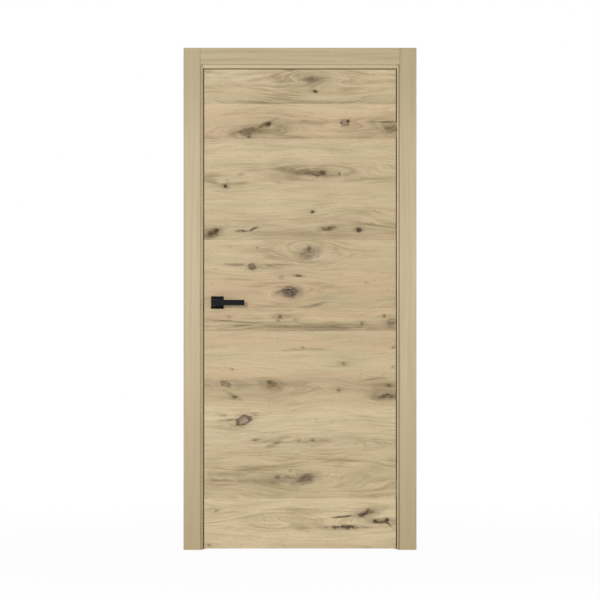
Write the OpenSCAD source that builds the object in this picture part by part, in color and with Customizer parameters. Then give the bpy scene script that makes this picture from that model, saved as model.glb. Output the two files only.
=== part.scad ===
/* [Leaf] */
// Width of the door leaf
leaf_w = 800; // [600:10:900]
// Height of the door leaf
leaf_h = 2000; // [1900:10:2100]
// Thickness of the door leaf
leaf_t = 40; // [38:1:50]
// Thickness of each veneered face board
face_t = 3.6; // [3:0.2:4]
// Thickness of the edge lipping
band_t = 1; // [0.6:0.2:2]
// Width of the stile that holds the lock
latch_stile_w = 100; // [94:2:140]
// Width of the stile that holds the hinges
hinge_stile_w = 60; // [50:2:90]
// Height of the top and bottom rails
rail_h = 80; // [50:5:150]

/* [Gaps] */
// Gap between the leaf and each side jamb
side_gap = 4; // [3:0.5:6]
// Gap between the leaf and the head
top_gap = 4; // [3:0.5:8]
// Gap between the leaf and the floor
floor_gap = 5; // [4:1:15]
// Gap between the leaf and the stop, which the seal fills
seal_gap = 4; // [3:0.5:5]
// Clearance of a piece in its mortise or groove
fit = 0.2; // [0.1:0.05:0.4]
// Clearance of a piece that turns or slides in another
running_fit = 0.3; // [0.2:0.05:0.5]

/* [Frame] */
// Thickness of the jambs, beside the leaf
jamb_t = 38; // [36:1:50]
// Depth of the frame, through the wall
frame_depth = 80; // [76:1:140]
// How far the stop stands out from the jamb
stop_t = 12; // [10:0.5:20]
// Bare edge of the side jambs between leaf gap and casing
side_reveal = 12; // [8:0.5:20]
// Bare edge of the head between leaf gap and casing
head_reveal = 16; // [8:0.5:22]
// Rounding of the jamb edge beside the leaf
jamb_round = 2; // [1:0.5:3]

/* [Casing] */
// Width of the casing boards
casing_w = 70; // [50:1:100]
// Thickness of the casing boards
casing_t = 10; // [8:0.5:16]
// Rounding of the casing edges
casing_round = 2.5; // [1:0.5:4]
// Thickness of the tongue that plugs into the jamb
tongue_t = 4; // [3:0.5:5]
// Length of the tongue
tongue_l = 14; // [8:1:20]

/* [Seal] */
// Radius of the seal bulb
bulb_r = 2.6; // [2.2:0.1:3]
// Width of the seal foot in its groove
seal_foot_w = 2.4; // [2:0.1:3]
// Depth of the seal foot in its groove
seal_foot_l = 5; // [3:0.5:8]
// Distance from the seal to the inner side of the stop
seal_inset = 4.6; // [4:0.1:6]

/* [Hinges] */
// Distance from the top of the leaf to the upper hinge
upper_hinge_drop = 250; // [150:10:400]
// Distance from the bottom of the leaf to the lower hinge
lower_hinge_rise = 250; // [150:10:400]
// Height of a hinge half
hinge_h = 116; // [112:2:160]
// How far the turning axis lies in front of the leaf face
axis_out = 2.5; // [2:0.25:3]
// Inner radius of a curved hinge link
link_r = 24; // [23.5:0.25:24.5]
// Radial thickness of a hinge link
link_t = 7; // [5:0.25:7.5]
// Height of one hinge link
link_h = 26; // [20:1:28]
// Metal between the two links of a hinge
link_spacing = 12; // [6:1:16]
// Half the arc of a link, in degrees
link_arc = 66; // [60:0.5:66.5]
// Rounding of the long edges of a link
link_round = 1; // [0.5:0.25:2]
// Metal round the link slots of a hinge half
hinge_wall = 2; // [1.5:0.25:2.2]
// Thickness of the hinge flange, which the screws hold
hinge_flange_t = 4; // [3:0.25:6]
// Corner radius of the hinge pocket behind the flange
hinge_corner_r = 6; // [4:0.5:8]
// Diameter of the hinge screws
hinge_screw_d = 5; // [4:0.25:5.5]
// Diameter of their countersunk heads
hinge_head_d = 10; // [8:0.5:11]
// Width across the corners of the socket that adjusts the hinge
adjuster_d = 5; // [4:0.5:6]
// Depth of that socket
adjuster_depth = 3; // [2:0.5:5]

/* [Lock] */
// Height of the handle axis above the floor
handle_z = 1032; // [900:2:1100]
// Distance from the leaf edge to the handle axis
backset = 55; // [50:1:60]
// How far the latch lies below the handle axis
latch_drop = 22; // [16:1:40]
// Width of the lock faceplate
lock_face_w = 18; // [16:1:24]
// Height of the lock faceplate
lock_face_h = 196; // [180:2:240]
// Thickness of the lock faceplate
lock_face_t = 3; // [2:0.5:4]
// Thickness of the lock case
lock_case_t = 15; // [14:0.5:16]
// Height of the lock case
lock_case_h = 150; // [140:2:170]
// Depth of the lock case behind its faceplate
lock_case_d = 78; // [76:1:84]
// Width of the latch bolt
latch_w = 11; // [9:0.5:12]
// Height of the latch bolt
latch_h = 20; // [16:1:26]
// How far the drawn-in latch stands out of the faceplate
latch_out = 1; // [0.5:0.25:1.5]
// Depth of the latch bolt in the lock case
latch_in = 22; // [15:1:30]
// Rounding of the latch bolt's upright edges
latch_round = 1; // [0.5:0.25:2]
// Diameter of the screws in the lock faceplate and the strike plate
plate_screw_d = 4; // [3:0.25:4.5]
// Diameter of their countersunk heads
plate_head_d = 6.5; // [5.5:0.25:8]

/* [Strike] */
// Width of the strike plate
strike_w = 22; // [20:1:28]
// Height of the strike plate
strike_h = 90; // [60:2:140]
// Thickness of the strike plate
strike_t = 1.5; // [1:0.25:2]
// Height of the lip that wraps the jamb edge
lip_h = 24; // [16:1:40]
// Reach of the lip across the bare jamb edge
lip_reach = 10; // [5:0.5:11]
// Clearance round the latch in the strike
strike_play = 1.5; // [1:0.25:3]
// Depth of the dust box behind the strike plate
dust_box_d = 15; // [12:1:18]
// Wall of the dust box
dust_box_wall = 1.5; // [1:0.25:2]

/* [Handle] */
// Side of the square rosette
rose_w = 52; // [46:1:60]
// Thickness of the rosette
rose_t = 8; // [6:0.5:12]
// Rounding of the rosette edges
rose_round = 1; // [0.5:0.25:2]
// Diameter of the lever neck
neck_d = 20; // [16:1:22]
// Distance from the leaf to the front of the lever
lever_out = 58; // [45:1:70]
// Reach of the lever from the handle axis to its tip
lever_reach = 114; // [90:2:140]
// Reach of the lever root behind the handle axis
root_back = 16; // [12:1:20]
// Reach of the lever root ahead of the handle axis
root_front = 22; // [14:1:40]
// Height of the lever root
root_h = 28; // [24:1:36]
// Height of the lever blade
blade_h = 23; // [18:1:26]
// Thickness of the lever blade
blade_t = 11; // [8:0.5:14]
// How much thicker the root is than the blade
root_step = 1.5; // [0.5:0.25:4]
// Rounding of the lever edges
lever_round = 1.5; // [0.5:0.25:3]
// Side of the square spindle
spindle_w = 8; // [7:1:9]
// Length of the spindle inside each lever neck
spindle_grip = 24; // [15:1:30]

/* [Hidden] */
$fn = 64;
over = 1;
oak = "#C7B084";
oak_edge = "#BCA377";
pine = "#D8C29A";
black_metal = "#22222A";
satin_metal = "#8F897E";
seal_rubber = "#4A3D31";

jamb_in = leaf_w / 2 + side_gap;
jamb_out = jamb_in + jamb_t;
casing_in = jamb_in + side_reveal;
head_in = floor_gap + leaf_h + top_gap;
head_out = head_in + jamb_t;
head_casing_in = head_in + head_reveal;
casing_top = head_casing_in + casing_w;
leaf_top = floor_gap + leaf_h;

stop_y = leaf_t + seal_gap;
stop_d = frame_depth - stop_y;
seal_x = stop_t - seal_inset;
bulb_y = leaf_t + running_fit + bulb_r;

axis_x = leaf_w / 2 + side_gap / 2;
slot_r = link_r - running_fit;
slot_t = link_t + 2 * running_fit;
// Degrees that a link's slot is cut in front of the hinge's face, and from the face to its end
slot_mouth = 10;
slot_end = link_arc + 1.5;
hinge_y0 = slot_r * cos(slot_end) - axis_out - hinge_wall;
hinge_y1 = slot_r + slot_t - axis_out + hinge_wall;
hinge_w = hinge_y1 - hinge_y0;
hinge_d = (slot_r + slot_t) * sin(slot_end) + hinge_wall - side_gap / 2;
hinge_y = (hinge_y0 + hinge_y1) / 2;
hinge_screw_z = (hinge_h - hinge_w) / 2 + 1;
link_z = (link_h + link_spacing) / 2;
pocket_h = 2 * (link_z + link_h / 2 + running_fit + hinge_wall);
hinge_heights = [leaf_top - upper_hinge_drop, floor_gap + lower_hinge_rise];

core_y0 = face_t;
core_t = leaf_t - 2 * face_t;
core_in = leaf_w / 2 - band_t;
core_bottom = floor_gap + band_t;
core_top = leaf_top - band_t;

handle_x = -leaf_w / 2 + backset;
latch_z = handle_z - latch_drop;
lock_y = leaf_t / 2;
spindle_hole_d = spindle_w * sqrt(2) + 2 * running_fit;
neck_start = rose_t / 2;
root_t = blade_t + root_step;
strike_hole_w = latch_w + 2 * strike_play;
strike_hole_h = latch_h + 2 * strike_play;

foot = [jamb_in + jamb_t / 2, frame_depth / 2, 0];

// Puts the origin at the centre of the hinge jamb's foot
module place() {
    translate(-foot) children();
}

// Turns a piece drawn upright into one that lies along the head
module along_head(half_length, z) {
    translate([half_length, 0, z]) rotate([0, -90, 0]) children();
}

// Mirrors a piece from the front of the frame to its back
module to_rear(depth) {
    translate([0, depth, 0]) mirror([0, 1, 0]) children();
}

module box_between(low, high) {
    translate(low) cube(high - low);
}

// A rectangle with its lowest corner at the origin and all corners round
module round_rect(w, h, r) {
    translate([r, 0]) square([w - 2 * r, h]);
    translate([0, r]) square([w, h - 2 * r]);
    for (x = [r, w - r], y = [r, h - r]) translate([x, y]) circle(r);
}

// A slot shape of full height h with round ends, centred on the origin
module stadium(w, h) {
    square([w, h - w], center = true);
    for (s = [-1, 1]) translate([0, s * (h - w) / 2]) circle(d = w);
}

// A prism from a drawing of depth and height, that runs along X
module along_x(length) {
    rotate([90, 0, 90]) linear_extrude(length) children();
}

// A bar along X, Y and Z with its edges rounded
module soft_bar(size, r) {
    intersection() {
        linear_extrude(size[2]) round_rect(size[0], size[1], r);
        translate([0, size[1], 0]) rotate([90, 0, 0]) linear_extrude(size[1]) round_rect(size[0], size[2], r);
        along_x(size[0]) round_rect(size[1], size[2], r);
    }
}

// Section of a jamb: inner face at x = 0, front edge at y = 0
module jamb_section() {
    rebate_w = tongue_t + fit;
    rebate_l = tongue_l + fit;
    difference() {
        union() {
            translate([jamb_round, 0]) square([jamb_t - jamb_round, frame_depth]);
            translate([0, jamb_round]) square([jamb_round, frame_depth - jamb_round]);
            translate([jamb_round, jamb_round]) circle(jamb_round);
        }
        translate([jamb_t - rebate_w, -over]) square([rebate_w + over, rebate_l + over]);
        translate([jamb_t - rebate_w, frame_depth - rebate_l]) square([rebate_w + over, rebate_l + over]);
    }
}

// Section of a stop: against the jamb at x = 0, inner side at x = -stop_t
module stop_section() {
    groove_w = seal_foot_w + fit;
    groove_l = seal_foot_l + fit;
    difference() {
        translate([-stop_t, stop_y]) square([stop_t, stop_d]);
        translate([-seal_x - groove_w / 2, stop_y - over]) square([groove_w, groove_l + over]);
    }
}

// Section of a seal: a round bulb in front of the stop and a foot in its groove
module seal_section() {
    difference() {
        translate([-seal_x, bulb_y]) circle(bulb_r);
        translate([-stop_t, stop_y]) square([stop_t, 2 * bulb_r]);
    }
    translate([-seal_x - seal_foot_w / 2, bulb_y]) square([seal_foot_w, stop_y - bulb_y + seal_foot_l]);
}

// Section of a casing: inner edge at x = 0, back at y = 0, face at y = -casing_t
module casing_section() {
    translate([0, -casing_t + casing_round]) square([casing_w, casing_t - casing_round]);
    translate([casing_round, -casing_t]) square([casing_w - 2 * casing_round, casing_t]);
    for (x = [casing_round, casing_w - casing_round])
        translate([x, -casing_t + casing_round]) circle(casing_round);
}

module side_casing() {
    translate([casing_in, 0, 0]) linear_extrude(casing_top) casing_section();
    translate([jamb_out - tongue_t, -casing_t / 2, 0]) cube([tongue_t, casing_t / 2 + tongue_l, head_out]);
}

module head_casing() {
    tongue_half = jamb_in - fit;
    along_head(casing_in, head_casing_in) linear_extrude(2 * casing_in) casing_section();
    box_between([-tongue_half, -casing_t / 2, head_out - tongue_t], [tongue_half, tongue_l, head_out]);
}

// A countersunk screw hole along X, from the plate's face at x = 0
module sunk_hole(screw_d, head_d, depth) {
    sink = (head_d - screw_d) / 2;
    rotate([0, 90, 0]) translate([0, 0, -over]) {
        cylinder(d = screw_d, h = depth + 2 * over);
        cylinder(d1 = head_d + 2 * over, d2 = screw_d, h = sink + over);
    }
}

// A hinge half without its slots: a flange with round ends, and a shorter pocket behind it
module hinge_block(play) {
    pocket_w = hinge_w + 2 * play;
    pocket_l = pocket_h + 2 * play;
    along_x(hinge_flange_t + play) stadium(pocket_w, hinge_h + 2 * play);
    along_x(hinge_d + play) translate([-pocket_w / 2, -pocket_l / 2])
        round_rect(pocket_w, pocket_l, hinge_corner_r);
}

// Two sweeps of a section about the turning axis, one for each link
module link_sweep(from_arc, to_arc) {
    for (s = [-1, 1]) {
        translate([0, -axis_out, s * link_z]) rotate([0, 0, 90 - to_arc])
            rotate_extrude(angle = to_arc - from_arc) children();
    }
}

module link_section() {
    translate([link_r, -link_h / 2]) round_rect(link_t, link_h, link_round);
}

module slot_section() {
    slot_h = link_h + 2 * running_fit;
    translate([slot_r, -slot_h / 2]) square([slot_t, slot_h]);
}

// Origin on the hinge's face, at its middle
module on_hinge_face() {
    translate([side_gap / 2, hinge_y, 0]) children();
}

// One half of a concealed hinge, in the jamb; the other half is its mirror image
module hinge_half() {
    difference() {
        on_hinge_face() hinge_block(0);
        link_sweep(-slot_mouth, slot_end) slot_section();
        on_hinge_face() {
            for (s = [-1, 1]) {
                translate([0, 0, s * hinge_screw_z]) sunk_hole(hinge_screw_d, hinge_head_d, hinge_flange_t);
            }
            translate([-over, 0, 0]) rotate([0, 90, 0])
                cylinder(d = adjuster_d, h = adjuster_depth + over, $fn = 6);
        }
    }
}

module hinge_mortise() {
    on_hinge_face() {
        hinge_block(fit);
        translate([-over, 0, 0]) along_x(2 * over) stadium(hinge_w + 2 * fit, hinge_h + 2 * fit);
    }
}

// Sets its children at the axis of each hinge that is asked for
module at_hinges(heights) {
    for (z = heights) translate([axis_x, 0, z]) children();
}

module leaf_half_side() {
    mirror([1, 0, 0]) children();
}

module hinge_jamb() {
    color(oak) difference() {
        translate([jamb_in, 0, 0]) linear_extrude(head_out) jamb_section();
        at_hinges(hinge_heights) hinge_mortise();
    }
}

module latch_jamb() {
    color(oak) difference() {
        mirror([1, 0, 0]) translate([jamb_in, 0, 0]) linear_extrude(head_out) jamb_section();
        strike_place() strike_mortise();
    }
}

module head_jamb() {
    color(oak) along_head(jamb_in, head_in) linear_extrude(2 * jamb_in) jamb_section();
}

module side_stop() {
    color(oak) translate([jamb_in, 0, 0]) linear_extrude(head_in - stop_t) stop_section();
}

module head_stop() {
    color(oak) along_head(jamb_in, head_in) linear_extrude(2 * jamb_in) stop_section();
}

module side_seal() {
    color(seal_rubber) translate([jamb_in, 0, 0])
        linear_extrude(head_in - stop_t) seal_section();
}

module head_seal() {
    half_length = jamb_in - seal_x - bulb_r - fit;
    color(seal_rubber) along_head(half_length, head_in) linear_extrude(2 * half_length) seal_section();
}

// Origin on the latch jamb's inner face, level with the latch, X into the jamb
module strike_place() {
    mirror([1, 0, 0]) translate([jamb_in, lock_y, latch_z]) children();
}

module strike_lip() {
    translate([0, -lock_y - strike_t, -lip_h / 2]) {
        linear_extrude(lip_h) {
            translate([0, strike_t]) square([strike_t, lock_y]);
            translate([strike_t, 0]) square([lip_reach - strike_t, strike_t]);
            intersection() {
                translate([strike_t, strike_t]) circle(strike_t);
                square(strike_t);
            }
        }
    }
}

module strike_mortise() {
    box_w = strike_hole_w + 2 * (dust_box_wall + fit);
    box_h = strike_hole_h + 2 * (dust_box_wall + fit);
    translate([-over, 0, 0]) along_x(strike_t + over) stadium(strike_w + 2 * fit, strike_h + 2 * fit);
    translate([-over, -lock_y - over, -lip_h / 2 - fit])
        cube([strike_t + over, lock_y + over, lip_h + 2 * fit]);
    translate([0, -box_w / 2, -box_h / 2]) cube([strike_t + dust_box_d + fit, box_w, box_h]);
}

module strike_plate() {
    color(satin_metal) strike_place() difference() {
        union() {
            along_x(strike_t) stadium(strike_w, strike_h);
            strike_lip();
        }
        translate([-over, -strike_hole_w / 2, -strike_hole_h / 2])
            cube([strike_t + 2 * over, strike_hole_w, strike_hole_h]);
        for (s = [-1, 1]) {
            translate([0, 0, s * (strike_h - strike_w) / 2]) sunk_hole(plate_screw_d, plate_head_d, strike_t);
        }
    }
}

module strike_dust_box() {
    w = strike_hole_w + 2 * dust_box_wall;
    h = strike_hole_h + 2 * dust_box_wall;
    color(black_metal) strike_place() translate([strike_t, 0, 0]) difference() {
        translate([0, -w / 2, -h / 2]) cube([dust_box_d, w, h]);
        translate([-over, -strike_hole_w / 2, -strike_hole_h / 2])
            cube([dust_box_d - dust_box_wall + over, strike_hole_w, strike_hole_h]);
    }
}

module hinge_frame_half(z) {
    color(satin_metal) at_hinges([z]) hinge_half();
}

module hinge_leaf_half(z) {
    color(satin_metal) at_hinges([z]) leaf_half_side() hinge_half();
}

module hinge_links(z) {
    color(satin_metal) at_hinges([z]) link_sweep(-link_arc, link_arc) link_section();
}

// A through hole on the handle axis
module handle_hole(d) {
    translate([handle_x, -over, handle_z]) rotate([-90, 0, 0]) cylinder(d = d, h = leaf_t + 2 * over);
}

module face_board(y) {
    color(oak) difference() {
        box_between([-leaf_w / 2, y, floor_gap], [leaf_w / 2, y + face_t, leaf_top]);
        handle_hole(neck_d - 2);
    }
}

module hinge_stile() {
    color(pine) difference() {
        box_between([core_in - hinge_stile_w, core_y0, core_bottom], [core_in, core_y0 + core_t, core_top]);
        at_hinges(hinge_heights) leaf_half_side() hinge_mortise();
    }
}

module latch_stile() {
    color(pine) difference() {
        box_between([-core_in, core_y0, core_bottom], [-core_in + latch_stile_w, core_y0 + core_t, core_top]);
        lock_mortise();
        handle_hole(neck_d - 2);
    }
}

module rail(z) {
    color(pine) box_between([-core_in + latch_stile_w, core_y0, z],
                            [core_in - hinge_stile_w, core_y0 + core_t, z + rail_h]);
}

module leaf_infill() {
    color(pine) box_between([-core_in + latch_stile_w, core_y0, core_bottom + rail_h],
                            [core_in - hinge_stile_w, core_y0 + core_t, core_top - rail_h]);
}

module hinge_edge_lipping() {
    color(oak_edge) difference() {
        box_between([core_in, core_y0, core_bottom], [leaf_w / 2, core_y0 + core_t, core_top]);
        at_hinges(hinge_heights) leaf_half_side() hinge_mortise();
    }
}

module latch_edge_lipping() {
    color(oak_edge) difference() {
        box_between([-leaf_w / 2, core_y0, core_bottom], [-core_in, core_y0 + core_t, core_top]);
        lock_mortise();
    }
}

module end_lipping(z) {
    color(oak_edge) box_between([-leaf_w / 2, core_y0, z], [leaf_w / 2, core_y0 + core_t, z + band_t]);
}

// Origin on the latch edge of the leaf, level with the latch, X into the leaf
module lock_place() {
    translate([-leaf_w / 2, lock_y, latch_z]) children();
}

module lock_mortise() {
    lock_place() {
        translate([-over, 0, 0]) along_x(lock_face_t + over)
            stadium(lock_face_w + 2 * fit, lock_face_h + 2 * fit);
        translate([0, -lock_case_t / 2 - fit, -lock_case_h / 2 - fit])
            cube([lock_face_t + lock_case_d + fit, lock_case_t + 2 * fit, lock_case_h + 2 * fit]);
    }
}

module latch_hole(from_x, to_x) {
    translate([from_x, -latch_w / 2 - fit, -latch_h / 2 - fit])
        cube([to_x - from_x, latch_w + 2 * fit, latch_h + 2 * fit]);
}

module lock_case() {
    color(satin_metal) difference() {
        lock_place() difference() {
            translate([lock_face_t, -lock_case_t / 2, -lock_case_h / 2])
                cube([lock_case_d, lock_case_t, lock_case_h]);
            latch_hole(0, latch_in + fit);
        }
        handle_hole(spindle_hole_d);
    }
}

module lock_faceplate() {
    color(satin_metal) lock_place() difference() {
        along_x(lock_face_t) stadium(lock_face_w, lock_face_h);
        latch_hole(-over, lock_face_t + over);
        for (s = [-1, 1]) {
            translate([0, 0, s * (lock_face_h - lock_face_w) / 2])
                sunk_hole(plate_screw_d, plate_head_d, lock_face_t);
        }
    }
}

module latch_bolt() {
    color(black_metal) lock_place() translate([-latch_out, -latch_w / 2, -latch_h / 2])
        linear_extrude(latch_h) round_rect(latch_out + latch_in, latch_w, latch_round);
}

// Origin on the handle axis at the front face of the leaf
module handle_place() {
    translate([handle_x, 0, handle_z]) children();
}

module rosette() {
    color(black_metal) handle_place() difference() {
        translate([-rose_w / 2, -rose_t, -rose_w / 2]) intersection() {
            soft_bar([rose_w, 2 * rose_t, rose_w], rose_round);
            cube([rose_w, rose_t, rose_w]);
        }
        translate([0, over, 0]) rotate([90, 0, 0]) cylinder(d = neck_d + 2 * running_fit, h = rose_t + 2 * over);
    }
}

module lever() {
    socket = spindle_w + 2 * fit;
    color(black_metal) handle_place() difference() {
        union() {
            translate([0, -neck_start, 0]) rotate([90, 0, 0])
                cylinder(d = neck_d, h = lever_out - blade_t / 2 - neck_start);
            translate([-root_back, -lever_out, -blade_h / 2])
                soft_bar([root_back + lever_reach, blade_t, blade_h], lever_round);
            translate([-root_back - root_step, -lever_out - root_step / 2, -root_h / 2])
                soft_bar([root_back + root_step + root_front, root_t, root_h], lever_round);
        }
        translate([-socket / 2, -neck_start - spindle_grip - fit, -socket / 2])
            cube([socket, spindle_grip + fit + over, socket]);
    }
}

module spindle() {
    reach = neck_start + spindle_grip;
    color(satin_metal) handle_place()
        translate([-spindle_w / 2, -reach, -spindle_w / 2]) cube([spindle_w, leaf_t + 2 * reach, spindle_w]);
}

place() hinge_jamb();
place() latch_jamb();
place() head_jamb();
place() side_stop();  // hinge_stop
place() mirror([1, 0, 0]) side_stop();  // latch_stop
place() head_stop();
place() side_seal();  // hinge_seal
place() mirror([1, 0, 0]) side_seal();  // latch_seal
place() head_seal();
place() color(oak) side_casing();  // front_hinge_casing
place() color(oak) mirror([1, 0, 0]) side_casing();  // front_latch_casing
place() color(oak) head_casing();  // front_head_casing
place() color(oak) to_rear(frame_depth) side_casing();  // rear_hinge_casing
place() color(oak) to_rear(frame_depth) mirror([1, 0, 0]) side_casing();  // rear_latch_casing
place() color(oak) to_rear(frame_depth) head_casing();  // rear_head_casing
place() strike_plate();
place() strike_dust_box();
place() hinge_frame_half(hinge_heights[0]);  // upper_hinge_frame_half
place() hinge_frame_half(hinge_heights[1]);  // lower_hinge_frame_half
place() hinge_links(hinge_heights[0]);  // upper_hinge_links
place() hinge_links(hinge_heights[1]);  // lower_hinge_links
place() hinge_leaf_half(hinge_heights[0]);  // upper_hinge_leaf_half
place() hinge_leaf_half(hinge_heights[1]);  // lower_hinge_leaf_half
place() face_board(0);  // front_face
place() face_board(leaf_t - face_t);  // rear_face
place() hinge_stile();
place() latch_stile();
place() rail(core_top - rail_h);  // top_rail
place() rail(core_bottom);  // bottom_rail
place() leaf_infill();
place() hinge_edge_lipping();
place() latch_edge_lipping();
place() end_lipping(core_top);  // top_edge_lipping
place() end_lipping(floor_gap);  // bottom_edge_lipping
place() lock_case();
place() lock_faceplate();
place() latch_bolt();
place() rosette();  // front_rosette
place() to_rear(leaf_t) rosette();  // rear_rosette
place() lever();  // front_lever
place() to_rear(leaf_t) lever();  // rear_lever
place() spindle();
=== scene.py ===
# %% [markdown]
# # A flush oak interior door, dressed
#
# The object is an interior door: a flat leaf with knotty oak veneer laid in lying boards, a cased
# wooden frame, and a square black lever handle. The joinery, the hinges and the lock are already
# there as exact solids. This script gives every surface its finish, lays the veneer board by board,
# and adds the small things that solids leave out, such as screws and glue lines.

# %% Load the frame
import math

import bmesh
import bpy
from mathutils import Matrix, Vector


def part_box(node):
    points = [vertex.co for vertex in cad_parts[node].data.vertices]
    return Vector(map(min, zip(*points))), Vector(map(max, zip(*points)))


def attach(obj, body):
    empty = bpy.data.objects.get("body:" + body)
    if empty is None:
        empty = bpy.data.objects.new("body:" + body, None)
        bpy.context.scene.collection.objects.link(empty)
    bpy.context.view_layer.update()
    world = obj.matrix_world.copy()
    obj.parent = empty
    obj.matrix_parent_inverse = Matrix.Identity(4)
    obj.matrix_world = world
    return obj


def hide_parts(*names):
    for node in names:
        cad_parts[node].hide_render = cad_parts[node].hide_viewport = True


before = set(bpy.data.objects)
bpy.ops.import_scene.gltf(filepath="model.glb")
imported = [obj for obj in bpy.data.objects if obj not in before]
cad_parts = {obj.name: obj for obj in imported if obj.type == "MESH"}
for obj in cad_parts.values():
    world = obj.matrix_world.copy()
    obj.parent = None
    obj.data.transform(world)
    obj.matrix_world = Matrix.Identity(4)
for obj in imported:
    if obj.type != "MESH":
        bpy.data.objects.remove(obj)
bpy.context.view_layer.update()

# %% [markdown]
# ## Where things are
#
# The frame's origin is at the foot of the right-hand jamb. The boards of the leaf are easier to
# describe from the middle of the door, on the front face of the leaf, so one point, door_middle,
# takes sizes in millimetres from there to the frame. The edges of the leaf come from its solids.

# %% The door's own measure
MM = 0.001

leaf_low, leaf_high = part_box("front_face")
rear_low, rear_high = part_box("rear_face")
rose_low, rose_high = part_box("front_rosette")
door_middle = Vector(((leaf_low.x + leaf_high.x) / 2, leaf_low.y, 0))
leaf_half = (leaf_high.x - leaf_low.x) / 2 / MM
leaf_foot = leaf_low.z / MM
leaf_top = leaf_high.z / MM
leaf_back = (rear_high.y - leaf_low.y) / MM
face_thick = (leaf_high.y - leaf_low.y) / MM
handle_x = ((rose_low.x + rose_high.x) / 2 - door_middle.x) / MM
handle_z = (rose_low.z + rose_high.z) / 2 / MM


def at(x, y, z):
    """A point given in millimetres from the door's middle, in the frame's metres."""
    return Vector((x, y, z)) * MM + door_middle


print("leaf half width", round(leaf_half, 1), "from", round(leaf_foot, 1), "to", round(leaf_top, 1), "mm")

# %% [markdown]
# ## The camera
#
# The door is seen straight on, and its sides run parallel, so the picture was taken from far away
# with a long lens. A camera twelve metres away does the same. Its height is that of the middle of
# the picture, so no tilt or shift is needed.

# %% Camera
picture_width = 2505
eye_height = 1042.6
eye_distance = 12000

camera_data = bpy.data.cameras.new("camera")
camera_data.sensor_width = 36
camera_data.lens = camera_data.sensor_width * eye_distance / picture_width
camera = bpy.data.objects.new("camera", camera_data)
camera.location = at(0, -eye_distance, eye_height)
camera.rotation_euler = (math.radians(90), 0, 0)
bpy.context.scene.collection.objects.link(camera)
bpy.context.scene.camera = camera
camera_data.clip_end = 100
print("lens", round(camera_data.lens), "mm")

# %% [markdown]
# ## Colours and nodes
#
# Colours are written as the hex values that a picture shows, and one function turns them into the
# linear values that a shader wants. Another function adds one node, sets it and links it, and gives
# back its output, so that a material reads as a list of steps. Its inputs are a row in the order of
# the sockets, or a dictionary where only some of them are set.


# %% Helpers for materials
def linear(code):
    """An sRGB hex value as linear red, green, blue and alpha."""
    parts = [int(code[i:i + 2], 16) / 255 for i in (1, 3, 5)]
    return [c / 12.92 if c <= 0.04045 else ((c + 0.055) / 1.055) ** 2.4 for c in parts] + [1]


def put(tree, kind, inputs=(), out=0, **settings):
    """Adds a node with its settings, fills or links its inputs, and gives back one output."""
    node = tree.nodes.new(kind)
    for name, value in settings.items():
        setattr(node, name, value)
    for name, value in inputs.items() if isinstance(inputs, dict) else enumerate(inputs):
        if isinstance(value, bpy.types.NodeSocket):
            tree.links.new(value, node.inputs[name])
        else:
            node.inputs[name].default_value = value
    return node.outputs[out] if len(node.outputs) else node


def new_group(name, inputs, outputs, kind="ShaderNodeTree"):
    """An empty node group with named sockets: the tree, what comes in, and the node that sends it out."""
    tree = bpy.data.node_groups.new(name, kind)
    for socket, form, value in inputs:
        made = tree.interface.new_socket(socket, in_out="INPUT", socket_type="NodeSocket" + form)
        if value is not None:
            made.default_value = value
    for socket, form in outputs:
        tree.interface.new_socket(socket, in_out="OUTPUT", socket_type="NodeSocket" + form)
    return tree, tree.nodes.new("NodeGroupInput").outputs, tree.nodes.new("NodeGroupOutput")


def new_material(name):
    """A material with its tree, its shader and its output, and nothing else."""
    material = bpy.data.materials.new(name)
    material.use_nodes = True
    tree = material.node_tree
    tree.nodes.clear()
    shader = tree.nodes.new("ShaderNodeBsdfPrincipled")
    put(tree, "ShaderNodeOutputMaterial", {"Surface": shader.outputs[0]})
    return material, tree, shader


def millimetres(tree):
    """The place on the surface, in millimetres from the door's middle."""
    place = put(tree, "ShaderNodeTexCoord", out="Object")
    sizes = {"Vector": place, "Location": -door_middle / MM, "Scale": [1 / MM] * 3}
    return put(tree, "ShaderNodeMapping", sizes)


print("helpers ready")

# %% [markdown]
# ## How oak grows round a knot
#
# A knot is the stump of a branch. The wood of the trunk flows round it as water flows round a stone,
# and the grain lines are the stream lines. The group below works that out: it takes the height of a
# point and bends it by the formula for flow round a cylinder, stretched along the board. Where the
# flow is calm, the lines only draw together. Where it is less than that, they close into an eye.
#
# The outline of a real knot is never a clean ellipse, so two soft noises push it about. They are
# worked out once for a whole board and handed to every knot, because Cycles has room for only so
# many values at a time. The knots are chained like beads: each adds its own bend, dark heart, bark
# ring, stained halo and ripples to what came before, so a board can have as many as it shows.

# %% Group: one knot
ripple_step = 7.5
push_reach = 2.4
ring_at = 0.90
patch_softness = 0.26
halo_shrink = (0.55, 0.8)

# Where each part fades, in knot sizes: there is none of it at the first number, and all at the second
stir_edge = (7.0, 0.8)
heart_edge = (1.2, 0.4)
ring_edge = (0.36, 0.10)
halo_edge = (1.7, 0.3)
ripple_edge = (1.9, 0.6)
ring_wear_range = (0.35, 0.55, 0.45, 1.0)

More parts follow.
